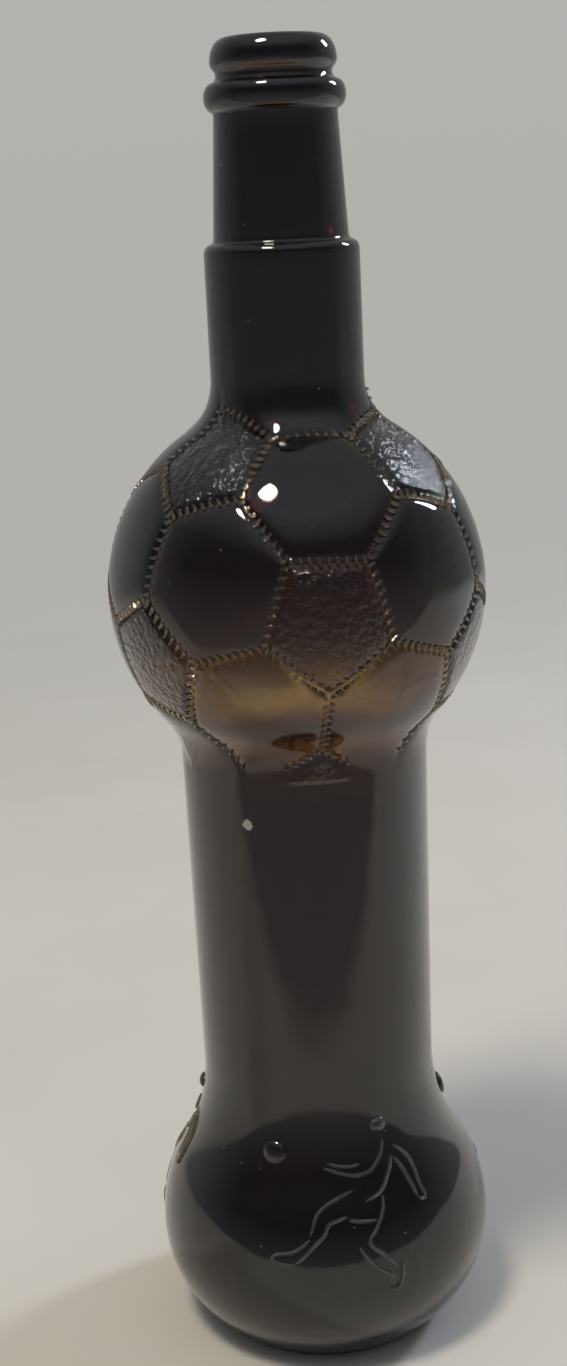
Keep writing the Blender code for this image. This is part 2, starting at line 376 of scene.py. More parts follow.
TOP_FILLET = fillet_centre(LOWER_NECK, NECK_FILLET, BALL_RADIUS, 1.0)
FOOT_FILLET = fillet_centre(WAIST_TOP, WAIST_FILLET, BALL_RADIUS, -1.0)
print("ball radius", round(BALL_RADIUS, 2), "neck meets the ball at", round(BALL_Z + TOP_FILLET[1], 1))

# %% [markdown]
# ## The pattern of a football
# A football's cover is sewn from 12 five-sided and 20 six-sided panels. Cutting a third off every
# corner of an icosahedron gives exactly that pattern, so the panels are worked out from its 12
# corners and not placed by eye. The ball is then turned until a five-sided panel faces the front
# with one corner down, rolled a little to one side, and drawn out slightly up and down, as the mould
# maker's pattern is.

# %% Panels
BALL_TURN = math.radians(8.6)
BALL_ROLL = math.radians(1.8)
BALL_DRAW = math.radians(2.2)
NEIGHBOUR = 1.2

def icosahedron_corners():
    golden = (1.0 + math.sqrt(5.0)) / 2.0
    corners = []
    for a in (-1.0, 1.0):
        for b in (-golden, golden):
            corners += [Vector((0.0, a, b)), Vector((a, b, 0.0)), Vector((b, 0.0, a))]
    return [corner.normalized() for corner in corners]

def in_order(centre, points):
    """Sort points round a centre, counter-clockwise as seen from outside."""
    across = (points[0] - centre * points[0].dot(centre)).normalized()
    up = centre.cross(across)
    return sorted(points, key=lambda point: math.atan2(point.dot(up), point.dot(across)))

def football_panels():
    """Each panel's centre and corners, as unit vectors from the middle of the ball."""
    corners = icosahedron_corners()
    near = NEIGHBOUR * min((corners[0] - other).length for other in corners[1:])
    numbers = range(len(corners))

    def linked(i, j):
        return i != j and (corners[i] - corners[j]).length < near

    def third(i, j):
        return corners[i].lerp(corners[j], 1.0 / 3.0).normalized()

    panels = []
    for i in numbers:
        panels.append((corners[i], in_order(corners[i], [third(i, j) for j in numbers if linked(i, j)])))
    for i, j, k in combinations(numbers, 3):
        if linked(i, j) and linked(j, k) and linked(i, k):
            cut = [third(a, b) for a, b in permutations((i, j, k), 2)]
            centre = (corners[i] + corners[j] + corners[k]).normalized()
            panels.append((centre, in_order(centre, cut)))
    return panels

def turned_panels():
    """The panels with the first one facing -Y, a corner down, then turned, rolled and drawn out a little."""
    panels = football_panels()
    front, ring = panels[0]
    down = (ring[0] - front * ring[0].dot(front)).normalized()
    as_built = Matrix((front, down, front.cross(down))).transposed()
    wanted = Matrix(((0.0, -1.0, 0.0), (0.0, 0.0, -1.0), (1.0, 0.0, 0.0))).transposed()
    roll = Matrix.Rotation(BALL_ROLL, 3, "Y")
    turn = roll @ Matrix.Rotation(BALL_TURN, 3, "Z") @ wanted @ as_built.inverted()

    def placed(point):
        """Turn a unit vector, and move it a little away from the ball's widest circle."""
        point = turn @ point
        level = math.atan2(point.z, math.hypot(point.x, point.y))
        level += BALL_DRAW * math.sin(2.0 * level)
        around = math.atan2(point.y, point.x)
        flat = math.cos(level)
        return Vector((flat * math.cos(around), flat * math.sin(around), math.sin(level)))

    return [(placed(centre), [placed(corner) for corner in ring]) for centre, ring in panels]

PANELS = turned_panels()
EDGE_LENGTH = BALL_RADIUS * (PANELS[0][1][0]).angle(PANELS[0][1][1])
print(len(PANELS), "panels, seams", round(EDGE_LENGTH, 1), "mm long")

# %% [markdown]
# ## The ball's surface
# Seen from the middle of the ball, every direction meets the glass once: on the sphere itself, or
# near the top and bottom on the hollow round that leads to the neck or the waist. One function gives
# that distance, so the panels can run on over the rounds as they do on the real bottle. Each panel
# is a set of rings that shrink towards its centre. The rings are close together near the seam, where
# the surface dips, and wide apart over the smooth middle.

# %% Ball panels
EDGE_STEPS = 14
RING_GAPS = (0.0, 0.32, 0.65, 1.05, 1.6, 2.4, 3.5, 5.2, 7.8, 10.8)
GROOVE = (0.46, 0.8)
PILLOW = (0.32, 2.3)
FADE = 5.0
LEATHER_FROM = 0.9
LEATHER_OVER = 1.5
CENTRE_ROOM = 1.0
SNAP = 0.03
SAME_POINT = 0.002
SPARE = 20.0
TOP_CUT = TOP_FILLET[1]
FOOT_CUT = FOOT_FILLET[1]

def reach(direction):
    """Distance in mm from the middle of the ball to the smooth surface, along a unit direction."""
    flat = math.hypot(direction.x, direction.y)
    if direction.z > 0:
        fillet, size, stem = TOP_FILLET, NECK_FILLET, LOWER_NECK
    else:
        fillet, size, stem = FOOT_FILLET, WAIST_FILLET, WAIST_TOP
    join = touch((0.0, 0.0), BALL_RADIUS, fillet, size)
    if abs(direction.z) * join[0] <= abs(join[1]) * flat:
        return BALL_RADIUS
    if abs(direction.z) * stem > abs(fillet[1]) * flat:
        return stem / flat if flat > 1e-6 else 10.0 * BALL_RADIUS
    along = fillet[0] * flat + fillet[1] * direction.z
    square = along**2 - fillet[0] ** 2 - fillet[1] ** 2 + size**2
    return along - math.sqrt(max(square, 0.0))

def seam_dip(gap):
    """How far the glass dips at this distance in mm from a seam."""
    return GROOVE[0] * math.exp(-((gap / GROOVE[1]) ** 2)) + PILLOW[0] * math.exp(-((gap / PILLOW[1]) ** 2))

def fade_at(height):
    """1 over the ball, falling to 0 where the rounds run out into the neck and waist."""
    room = min(TOP_CUT - height, height - FOOT_CUT) / FADE
    share = min(max(room, 0.0), 1.0)
    return share * share * (3.0 - 2.0 * share)

def surface_point(direction, gap):
    distance = reach(direction)
    dip = seam_dip(gap) * fade_at(direction.z * distance)
    return direction * (distance - dip)

def add_panel(bm, leather, centre, ring):
    """One panel: rings from its seam in to its centre, with the leather mask on five-sided ones."""
    apothem = BALL_RADIUS * centre.angle((ring[0] + ring[1]).normalized())
    edge = []
    for corner, following in zip(ring, ring[1:] + ring[:1]):
        edge += [corner.lerp(following, step / EDGE_STEPS).normalized() for step in range(EDGE_STEPS)]
    loops = []
    for gap in [gap for gap in RING_GAPS if gap < apothem - CENTRE_ROOM]:
        share = 1.0 - gap / apothem
        loop = []
        for point in edge:
            direction = centre.lerp(point, share).normalized()
            vert = bm.verts.new(surface_point(direction, gap))
            if len(ring) == 5:
                vert[leather] = min(max((gap - LEATHER_FROM) / LEATHER_OVER, 0.0), 1.0)
            loop.append(vert)
        loops.append(loop)
    middle = bm.verts.new(surface_point(centre, apothem))
    middle[leather] = 1.0 if len(ring) == 5 else 0.0
    for i in range(len(edge)):
        j = (i + 1) % len(edge)
        for outer, inner in zip(loops, loops[1:]):
            bm.faces.new((outer[i], outer[j], inner[j], inner[i]))
        bm.faces.new((loops[-1][i], loops[-1][j], middle))

def cut_loop(bm, height, radius):
    """The open edge left at a cut, as vertices in order of angle, moved onto its exact circle."""
    ring = [v for v in bm.verts if abs(v.co.z - height) < 2.0 * SNAP and v.is_boundary]
    for vert in ring:
        flat = math.hypot(vert.co.x, vert.co.y)
        vert.co = Vector((vert.co.x * radius / flat, vert.co.y * radius / flat, height))
    return sorted(ring, key=lambda v: math.atan2(v.co.y, v.co.x))

def make_ball():
    bm = bmesh.new()
    leather = bm.verts.layers.float.new("leather")
    for centre, ring in PANELS:
        if centre.z * BALL_RADIUS < TOP_CUT + SPARE:
            add_panel(bm, leather, centre, ring)
    bmesh.ops.remove_doubles(bm, verts=bm.verts, dist=SAME_POINT)
    for height, side in ((TOP_CUT, 1.0), (FOOT_CUT, -1.0)):
        everything = bm.verts[:] + bm.edges[:] + bm.faces[:]
        bmesh.ops.bisect_plane(
            bm, geom=everything, dist=SNAP,
            plane_co=(0.0, 0.0, height), plane_no=(0.0, 0.0, side), clear_outer=True,
        )
    return bm

body = make_ball()
top_loop = cut_loop(body, TOP_CUT, LOWER_NECK)
foot_loop = cut_loop(body, FOOT_CUT, WAIST_TOP)
print(len(body.faces), "faces on the ball,", len(top_loop), "and", len(foot_loop), "points on its open edges")

# %% [markdown]
# ## Neck, mouth, waist and base
# The rest of the outside, and all of the inside, is turned. Rings of evenly spaced points follow the
# outline, and a strip of triangles joins the first ring to the uneven edge of the ball. The outline
# runs up the neck, over the lip and down inside to the floor of the bottle, and from the waist down
# round the base and in underneath, so the glass ends up as one closed skin with a real wall. A blown
# wall is never even: it is thinnest low on the ball, where the glass stretched most, and its inside
# sits a little forward there and a little back below.

# %% Outlines of the turned parts
SIDES = 112
NECK_WALL = 4.3
BALL_WALL = 4.0
WAIST_WALL = 4.2
BASE_WALL = 4.4

# Where the blown wall is thinner all round: it eases in and out between these heights from the
# middle of the ball
THIN_BY = 2.35
THIN_ABOVE = (2.0, -14.0)
THIN_BELOW = (-53.0, -42.0)

# Where the inside sits off the axis, as (by how much, height from the middle of the ball, spread)
FRONT_THINNER = (0.5, -14.0, 9.0)
FRONT_THICKER = (1.3, -40.0, 10.0)

# Distances between rings along the outline
STEP_GAP = 0.4
NECK_GAP = 4.0
WAIST_GAP = 5.0
BASE_GAP = 2.0
HEEL_GAP = 1.8
BORE_GAP = 6.0
INSIDE_GAP = 8.0
INSIDE_BALL_GAP = 3.0
INSIDE_BASE_GAP = 3.2
INSIDE_HEEL_GAP = 2.8

# Small free curves, as (outwards, upwards) from the point that each belongs to
LIP_GROOVE_DROP = 8.0
LIP_GROOVE_DEPTH = 1.2
STEP_COVE = ((0.35, 0.18), (0.12, 0.5), (0.0, 1.1))
LIP_GROOVE = ((0.42, -1.35), (0.08, -0.7), (0.0, 0.0), (0.2, 0.65), (0.62, 1.15), (0.98, 1.75))
MOUTH_EDGE = ((1.1, -0.04), (0.5, -0.2), (0.12, -0.7), (0.0, -1.6))
COLLAR_FOOT = (0.18, -0.15)
RING_COVE = ((-0.5, 0.25), (-1.0, 0.8))

# The heel's last points before the ring, as (outwards, share of the height left)
RING_EDGE = ((-0.35, 0.55), (-0.8, 0.2))

# Ovals, as (first angle, last angle, points)
COLLAR_SWEEP = (-84.0, 72.0, 19)
CROWN_SWEEP = (-8.0, 90.0, 13)

# Domes under and over the floor of the bottle
DOME_RINGS = 12
PUSH_UP_FULLNESS = 0.8
FLOOR_HEEL = 1.3
FLOOR_DOME = 5.2
FLOOR_FULLNESS = 1.2

def shifted(curve, radius, z):
    return [(radius + out, z + up) for out, up in curve]

def oval(radius, z, out, up, sweep):
    turns = np.radians(np.linspace(*sweep))
    return [(radius + out * math.cos(turn), z + up * math.sin(turn)) for turn in turns]

def finish_outline():
    """From the top of the lower neck up over the lip to the mouth."""
    lip_radius = BORE + LIP_LAND + LIP_CROWN
    widest = HEIGHT - LIP_DROP
    groove_z = HEIGHT - LIP_GROOVE_DROP
    groove_r = lip_radius - LIP_GROOVE_DEPTH
    step = arc((LOWER_NECK - STEP_ROUND, STEP_Z - STEP_ROUND), STEP_ROUND, 0.0, 78.0, STEP_GAP)
    cove = shifted(STEP_COVE, NECK_FOOT, STEP_Z)
    neck = resample([(NECK_FOOT, STEP_Z + 1.6), (NECK_TOP + 0.05, COLLAR_Z - COLLAR_HALF - 0.9)], NECK_GAP)
    collar = oval(NECK_TOP, COLLAR_Z, COLLAR_OUT, COLLAR_HALF, COLLAR_SWEEP)
    collar[0] = (NECK_TOP + COLLAR_FOOT[0], COLLAR_Z - COLLAR_HALF + COLLAR_FOOT[1])
    groove = shifted(LIP_GROOVE, groove_r, groove_z)
    crown = oval(lip_radius - LIP_CROWN, widest, LIP_CROWN, LIP_DROP, CROWN_SWEEP)
    land = shifted(MOUTH_EDGE, BORE, HEIGHT)
    return step + cove + neck.tolist() + collar + groove + crown + land

def waist_outline():
    """From under the ball down the waist, out over the base and in to the axis underneath."""
    shoulder = (BASE_RADIUS - SHOULDER_ARC, BASE_Z)
    flare_r = WAIST_FOOT + FLARE_ARC
    flare = (flare_r, BASE_Z + math.sqrt((SHOULDER_ARC + FLARE_ARC) ** 2 - (flare_r - shoulder[0]) ** 2))
    join = touch(shoulder, SHOULDER_ARC, flare, FLARE_ARC)
    heel = (BASE_RADIUS - HEEL_ARC, BASE_Z)
    heel_end = -math.degrees(math.asin((BASE_Z - RING_ROUND) / HEEL_ARC))
    points = resample([(WAIST_TOP, BALL_Z + FOOT_CUT - 1.0), (WAIST_FOOT, flare[1])], WAIST_GAP).tolist()
    points += arc(flare, FLARE_ARC, 180.0, 360.0 + angle_to(flare, join), BASE_GAP)[1:]
    points += arc(shoulder, SHOULDER_ARC, angle_to(shoulder, join), 0.0, BASE_GAP)[1:]
    points += arc(heel, HEEL_ARC, 0.0, heel_end, HEEL_GAP)[1:]
    inner = RING_RADIUS - RING_WIDTH
    edge = points[-1]
    points += [(edge[0] + out, edge[1] * share) for out, share in RING_EDGE]
    points += [(RING_RADIUS, 0.0), (inner, 0.0), *shifted(RING_COVE, inner, 0.0)]
    points.append((inner - RING_ROUND, RING_ROUND))
    for share in np.linspace(0.0, 1.0, DOME_RINGS)[1:]:
        rise = (PUSH_UP - RING_ROUND) * math.sin(0.5 * math.pi * share) ** PUSH_UP_FULLNESS
        points.append(((inner - RING_ROUND) * (1.0 - share), RING_ROUND + rise))
    return points

def inside_outline():
    """From the mouth down the inside to the axis at the floor of the bottle."""
    neck_r = LOWER_NECK - NECK_WALL
    waist_r = WAIST_TOP - WAIST_WALL
    top = fillet_centre(neck_r, NECK_FILLET + NECK_WALL, BALL_RADIUS - BALL_WALL, 1.0)
    foot = fillet_centre(waist_r, WAIST_FILLET + WAIST_WALL, BALL_RADIUS - BALL_WALL, -1.0)
    ball = (0.0, BALL_Z)
    top = (top[0], top[1] + BALL_Z)
    foot = (foot[0], foot[1] + BALL_Z)
    top_touch = touch(ball, BALL_RADIUS - BALL_WALL, top, NECK_FILLET + NECK_WALL)
    foot_touch = touch(ball, BALL_RADIUS - BALL_WALL, foot, WAIST_FILLET + WAIST_WALL)
    points = resample([(BORE, HEIGHT - 4.0), (BORE, COLLAR_Z - COLLAR_HALF)], BORE_GAP).tolist()
    inner_step = [(BORE, COLLAR_Z - 6.0), (NECK_FOOT - NECK_WALL, STEP_Z + 3.0), (neck_r, STEP_Z - 6.0)]
    points += resample(inner_step, BORE_GAP).tolist()
    points += resample([(neck_r, STEP_Z - 9.0), (neck_r, top[1] + 2.0)], INSIDE_GAP).tolist()
    points += arc(top, NECK_FILLET + NECK_WALL, 180.0, 360.0 + angle_to(top, top_touch), INSIDE_BALL_GAP)
    first, last = angle_to(ball, top_touch), angle_to(ball, foot_touch)
    points += arc(ball, BALL_RADIUS - BALL_WALL, first, last, INSIDE_BALL_GAP)[1:-1]
    points += arc(foot, WAIST_FILLET + WAIST_WALL, angle_to(foot, foot_touch), 180.0, INSIDE_BALL_GAP)
    flare_arc = FLARE_ARC + BASE_WALL
    shoulder_arc = SHOULDER_ARC - BASE_WALL
    shoulder = (BASE_RADIUS - SHOULDER_ARC, BASE_Z)
    flare_r = WAIST_FOOT - BASE_WALL + flare_arc
    flare = (flare_r, BASE_Z + math.sqrt((shoulder_arc + flare_arc) ** 2 - (flare_r - shoulder[0]) ** 2))
    join = touch(shoulder, shoulder_arc, flare, flare_arc)
    points += resample([(waist_r, foot[1] - 3.0), (WAIST_FOOT - BASE_WALL, flare[1])], INSIDE_GAP).tolist()
    points += arc(flare, flare_arc, 180.0, 360.0 + angle_to(flare, join), INSIDE_BASE_GAP)[1:]
    points += arc(shoulder, shoulder_arc, angle_to(shoulder, join), 0.0, INSIDE_BASE_GAP)[1:]
    heel = (BASE_RADIUS - HEEL_ARC, BASE_Z)
    heel_arc = HEEL_ARC - BASE_WALL
    low = FLOOR_GLASS + FLOOR_HEEL
    heel_end = -math.degrees(math.asin((BASE_Z - low) / heel_arc))
    points += arc(heel, heel_arc, 0.0, heel_end, INSIDE_HEEL_GAP)[1:]
    edge = points[-1]
    for share in np.linspace(0.0, 1.0, DOME_RINGS)[1:]:
        rise = FLOOR_DOME * math.sin(0.5 * math.pi * share) ** FLOOR_FULLNESS
        points.append((edge[0] * (1.0 - share), low + rise))
    return points

def ease(value, start, end):
    """0 at start, 1 at end, with a smooth run between them."""
    share = min(max((value - start) / (end - start), 0.0), 1.0)
    return share * share * (3.0 - 2.0 * share)

def thinned(points):
    """The inside pushed outwards low on the ball, where the blown wall is thinnest."""
    above = [BALL_Z + height for height in THIN_ABOVE]
    below = [BALL_Z + height for height in THIN_BELOW]
    out = []
    for radius, z in points:
        low = ease(z, *above) * ease(z, *below)
        out.append((radius + THIN_BY * low if radius > BORE else radius, z))
    return out

def uneven(z):
    """How far the inside is pushed towards the front at a height, in mm, or back where below 0."""
    def swell(height, spread):
        return math.exp(-(((z - (BALL_Z + height)) / spread) ** 2))

    return FRONT_THINNER[0] * swell(*FRONT_THINNER[1:]) - FRONT_THICKER[0] * swell(*FRONT_THICKER[1:])

def add_ring(bm, radius, z, aside=0.0):
    angles = [2.0 * math.pi * i / SIDES - math.pi for i in range(SIDES)]
    return [bm.verts.new((radius * math.cos(a), radius * math.sin(a) - aside, z)) for a in angles]

def join_rings(bm, first, second):
    for i in range(SIDES):
        j = (i + 1) % SIDES
        bm.faces.new((first[i], first[j], second[j], second[i]))

def close_ring(bm, ring, z, aside=0.0):
    middle = bm.verts.new((0.0, -aside, z))
    for i in range(SIDES):
        bm.faces.new((ring[i], ring[(i + 1) % SIDES], middle))

def zip_rings(bm, uneven_ring, even_ring):
    """A strip of triangles between two rings with different numbers of points, both sorted by angle."""
    def angle(vert, ring, index):
        base = math.atan2(vert.co.y, vert.co.x)
        return base + (2.0 * math.pi if index >= len(ring) else 0.0)

    i = j = 0
    while i < len(uneven_ring) or j < len(even_ring):
        a, b = uneven_ring[i % len(uneven_ring)], even_ring[j % len(even_ring)]
        next_a, next_b = uneven_ring[(i + 1) % len(uneven_ring)], even_ring[(j + 1) % len(even_ring)]
        angle_a = angle(next_a, uneven_ring, i + 1) if i < len(uneven_ring) else math.inf
        angle_b = angle(next_b, even_ring, j + 1) if j < len(even_ring) else math.inf
        if angle_a <= angle_b:
            bm.faces.new((a, next_a, b))
            i += 1
        else:
            bm.faces.new((a, next_b, b))
            j += 1

def turn_outline(bm, points, start, inside_from=None):
    """Rings along an outline, joined to a start loop, closed at the axis if the outline ends there."""
    last = None
    for index, (radius, z) in enumerate(points):
        aside = uneven(z) if inside_from is not None and index >= inside_from else 0.0
        if radius < 1e-6:
            close_ring(bm, last, z - BALL_Z, aside)
            return
        ring = add_ring(bm, radius, z - BALL_Z, aside)
        if last is None:
            zip_rings(bm, start, ring)
        else:
            join_rings(bm, last, ring)
        last = ring

# %% Close the glass
lower_neck = [(LOWER_NECK, BALL_Z + TOP_CUT + 1.0), (LOWER_NECK, STEP_Z - STEP_ROUND - 1.0)]
lower_neck = resample(lower_neck, NECK_GAP).tolist()
outside_up = lower_neck + finish_outline()
turn_outline(body, outside_up + thinned(inside_outline()), top_loop, inside_from=len(outside_up))
turn_outline(body, waist_outline(), foot_loop)

def make_object(name, bm, scale=MM, lift=0.0):
    """Turn a bmesh in mm into an object at the origin, with its place in its mesh, in metres."""
    bmesh.ops.recalc_face_normals(bm, faces=bm.faces[:])
    for vert in bm.verts:
        vert.co = (vert.co + Vector((0.0, 0.0, lift))) * scale
    mesh = bpy.data.meshes.new(name)
    bm.to_mesh(mesh)
    bm.free()
    mesh.shade_smooth()
    piece = bpy.data.objects.new(name, mesh)
    bpy.context.scene.collection.objects.link(piece)
    return piece

open_edges = sum(edge.is_boundary for edge in body.edges)
bottle = make_object("bottle_body", body, lift=BALL_Z)
print("body:", len(bottle.data.polygons), "faces,", open_edges, "open edges")

# %% [markdown]
# ## The glass
# Brown and olive container glass gets its colour all the way through, from iron and sulphur in the
# melt, so it is tinted by a volume and not by paint on the surface: thin places glow amber and thick
# ones go nearly black. The surface itself is clear and shiny, like any soda-lime glass with an index
# near 1.52. Its bumps are small: slow waves from blowing, a leather grain that was cut into the mould
# for the five-sided panels, a fine skin, and the hairline where the halves of the mould met. Bottles
# get a film of tin oxide while they are still hot, which makes them shine more than bare glass does.

# %% Glass material
GLASS_INDEX = 1.52
FILM_SHARE = 0.5
FILM_INDEX = 1.6
FILM_ROUGH = 0.03
TINT_DENSITY = 1600.0
TINT_KEPT = (0.65, 0.49, 0.11, 1.0)
WAVE_SPACING = 14.0
WAVE_DEPTH = 0.11
GRAIN_CELL = 1.6
GRAIN_DEPTH = 0.32
GRAIN_WARP = 1.6
FOLD_SIZE = 2.0
SKIN_SIZE = 0.5
SKIN_DEPTH = 0.006
MOULD_ANGLE = math.radians(14.0)
MOULD_HALF_WIDTH = 0.3
MOULD_STEP = 0.05
SMUDGE_SIZE = 16.0
CLEAN_ROUGH = 0.018
SMEARED_ROUGH = 0.09
DUST_SPACING = 4.0
DUST_SHARE = 0.035
DUST_LEFT_OUT = 0.6
CHIP_ANGLE = math.radians(-28.7)
CHIP_Z = 142.0
CHIP_R = 30.2
CHIP_INNER = 1.15
CHIP_OUTER = 1.5
CHIP_RAGGED = 1.4
PATCH_SIZE = 2.0
SCAR_ROUGH = 0.5
SCAR_CLEAR = 0.35
# Pale colour of chips and dust, also painted on the crests of stitches and relief as a highlight
SCAR_AND_SHEEN_COLOUR = "D8D2C6"

def add_bump(tree, height, depth, under=None):
    """Shade a pattern as relief this many mm deep, on top of an earlier one."""
    inputs = {"Height": height, "Strength": 1.0, "Distance": depth * MM}
    if under is not None:
        inputs["Normal"] = under
    return add_node(tree, "ShaderNodeBump", inputs).outputs["Normal"]

def mould_blown_bottle_glass():
    """Olive-brown soda-lime glass, blown in a mould: glossy, slightly wavy, dark where it is thick."""
    material, tree, output = new_material("mould_blown_bottle_glass")
    place = add_node(tree, "ShaderNodeTexCoord")
    mm = add_node(
        tree, "ShaderNodeVectorMath", {0: place.outputs["Object"], "Scale": 1.0 / MM}, operation="SCALE"
    )
    mm = mm.outputs["Vector"]

    # Slow waves from the blown skin following a cooler mould: straight reflections bend a little
    waves = add_node(
        tree, "ShaderNodeTexNoise",
        {"Vector": mm, "Scale": 1.0 / WAVE_SPACING, "Detail": 1.0, "Roughness": 0.4},
    )
    normal = add_bump(tree, waves.outputs["Fac"], WAVE_DEPTH)

    # Leather grain on the five-sided panels only: it breaks a lamp's reflection into glints
    leather = add_node(tree, "ShaderNodeAttribute", attribute_name="leather")
    warp = add_node(tree, "ShaderNodeTexNoise", {"Vector": mm, "Scale": 1.0 / FOLD_SIZE, "Detail": 2.0})
    shift = add_node(
        tree, "ShaderNodeVectorMath", {0: warp.outputs["Color"], "Scale": GRAIN_WARP}, operation="SCALE"
    )
    bent = add_node(tree, "ShaderNodeVectorMath", {0: mm, 1: shift.outputs["Vector"]}, operation="ADD")
    cells = add_node(
        tree, "ShaderNodeTexVoronoi",
        {"Vector": bent.outputs["Vector"], "Scale": 1.0 / GRAIN_CELL, "Smoothness": 0.5},
        feature="SMOOTH_F1",
    )
    folds = add_node(
        tree, "ShaderNodeTexNoise",
        {"Vector": bent.outputs["Vector"], "Scale": 1.0, "Detail": 3.0, "Roughness": 0.6},
    )
    grain = add_node(
        tree, "ShaderNodeMath", {0: cells.outputs["Distance"], 1: folds.outputs["Fac"]}, operation="ADD"
    )
    masked = add_node(
        tree, "ShaderNodeMath", {0: grain.outputs["Value"], 1: leather.outputs["Fac"]}, operation="MULTIPLY"
    )
    normal = add_bump(tree, masked.outputs["Value"], GRAIN_DEPTH, normal)

    # Fine skin that makes every reflection a little soft
    skin = add_node(tree, "ShaderNodeTexNoise", {"Vector": mm, "Scale": 1.0 / SKIN_SIZE, "Detail": 2.0})
    normal = add_bump(tree, skin.outputs["Fac"], SKIN_DEPTH, normal)

    # The mould's joint: a low, narrow ridge down both sides
    split = add_node(
        tree, "ShaderNodeVectorRotate", {"Vector": mm, "Angle": MOULD_ANGLE}, rotation_type="Z_AXIS"
    )
    across = add_node(tree, "ShaderNodeSeparateXYZ", {"Vector": split.outputs["Vector"]})
    off_line = add_node(tree, "ShaderNodeMath", {0: across.outputs["Y"]}, operation="ABSOLUTE")
    line = add_node(
        tree, "ShaderNodeMapRange",
        {
            "Value": off_line.outputs["Value"], "From Min": 0.0, "From Max": MOULD_HALF_WIDTH,
            "To Min": 1.0, "To Max": 0.0,
        },
        interpolation_type="SMOOTHSTEP",
    )
    normal = add_bump(tree, line.outputs["Result"], MOULD_STEP, normal)

    # Smudges from hands: patches that are slightly less shiny
    smudge = add_node(
        tree, "ShaderNodeTexNoise",
        {"Vector": mm, "Scale": 1.0 / SMUDGE_SIZE, "Detail": 5.0, "Roughness": 0.65},
    )
    rough = add_node(
        tree, "ShaderNodeMapRange",
        {
            "Value": smudge.outputs["Fac"], "From Min": 0.42, "From Max": 0.72,
            "To Min": CLEAN_ROUGH, "To Max": SMEARED_ROUGH,
        },
    )

    # Dust: pale specks 0.3 mm across, where a cell's middle lies at the surface
    dots = add_node(tree, "ShaderNodeTexVoronoi", {"Vector": mm, "Scale": 1.0 / DUST_SPACING})
    speck = add_node(
        tree, "ShaderNodeMath", {0: dots.outputs["Distance"], 1: DUST_SHARE}, operation="LESS_THAN"
    )
    chosen = add_node(tree, "ShaderNodeSeparateColor", {"Color": dots.outputs["Color"]})
    some = add_node(
        tree, "ShaderNodeMath", {0: chosen.outputs["Red"], 1: DUST_LEFT_OUT}, operation="GREATER_THAN"
    )
    dust = add_node(
        tree, "ShaderNodeMath", {0: speck.outputs["Value"], 1: some.outputs["Value"]}, operation="MULTIPLY"
    )

    # A chip knocked out of the waist: a pale, rough scar 2 to 3 mm across
    chip_at = (CHIP_R * math.sin(CHIP_ANGLE), -CHIP_R * math.cos(CHIP_ANGLE), CHIP_Z)
    ragged = add_node(tree, "ShaderNodeTexNoise", {"Vector": mm, "Scale": 1.1, "Detail": 3.0})
    ragged = add_node(
        tree, "ShaderNodeVectorMath", {0: ragged.outputs["Color"], "Scale": CHIP_RAGGED}, operation="SCALE"
    )
    torn = add_node(tree, "ShaderNodeVectorMath", {0: mm, 1: ragged.outputs["Vector"]}, operation="ADD")
    middle = tuple(value + 0.5 * CHIP_RAGGED for value in chip_at)
    near = add_node(
        tree, "ShaderNodeVectorMath", {0: torn.outputs["Vector"], 1: middle}, operation="DISTANCE"
    )
    chip = add_node(
        tree, "ShaderNodeMapRange",
        {
            "Value": near.outputs["Value"], "From Min": CHIP_INNER, "From Max": CHIP_OUTER,
            "To Min": 1.0, "To Max": 0.0,
        },
    )
    scar_and_sheen = add_node(
        tree, "ShaderNodeMath", {0: dust.outputs["Value"], 1: chip.outputs["Result"]}, operation="MAXIMUM"
    )

    # Crests of the stitches and the relief, pale in small patches: partly rubbed by other bottles, partly a
    # painted highlight
    worn_and_sheen = add_node(tree, "ShaderNodeAttribute", attribute_name="worn_and_sheen")
    patch = add_node(
        tree, "ShaderNodeTexNoise",
        {"Vector": mm, "Scale": 1.0 / PATCH_SIZE, "Detail": 4.0, "Roughness": 0.7},
    )
    patch = add_node(
        tree, "ShaderNodeMapRange",
        {"Value": patch.outputs["Fac"], "From Min": 0.3, "From Max": 0.7, "To Min": 0.25, "To Max": 0.7},
    )
    rubbed_and_sheen = add_node(
        tree, "ShaderNodeMath", {0: worn_and_sheen.outputs["Fac"], 1: patch.outputs["Result"]}, operation="MULTIPLY"
    )
    scar_and_sheen = add_node(
        tree, "ShaderNodeMath", {0: scar_and_sheen.outputs["Value"], 1: rubbed_and_sheen.outputs["Value"]}, operation="MAXIMUM"
    )

    rough = add_node(
        tree, "ShaderNodeMix",
        {0: scar_and_sheen.outputs["Value"], 2: rough.outputs["Result"], 3: SCAR_ROUGH},
        data_type="FLOAT",
    )
    clear = add_node(
        tree, "ShaderNodeMapRange", {"Value": scar_and_sheen.outputs["Value"], "To Min": 1.0, "To Max": SCAR_CLEAR}
    )
    # White glass turns pale under the mask: real chips and dust, and a painted highlight on the crests
    colour = add_node(tree, "ShaderNodeMix", {0: scar_and_sheen.outputs["Value"]}, data_type="RGBA")
    colour.inputs[6].default_value = linear("FFFFFF")
    colour.inputs[7].default_value = linear(SCAR_AND_SHEEN_COLOUR)
    surface = add_node(
        tree,
        "ShaderNodeBsdfPrincipled",
        {
            "Base Color": colour.outputs[2],
            "Roughness": rough.outputs[0],
            "IOR": GLASS_INDEX,
            "Coat Weight": FILM_SHARE,
            "Coat IOR": FILM_INDEX,
            "Coat Roughness": FILM_ROUGH,
            "Coat Normal": normal,
            "Transmission Weight": clear.outputs["Result"],
            "Normal": normal,
        },
    )
    tint = add_node(tree, "ShaderNodeVolumeAbsorption", {"Color": TINT_KEPT, "Density": TINT_DENSITY})
    tree.links.new(surface.outputs["BSDF"], output.inputs["Surface"])
    tree.links.new(tint.outputs["Volume"], output.inputs["Volume"])
    return material

GLASS = mould_blown_bottle_glass()
bottle.data.materials.append(GLASS)

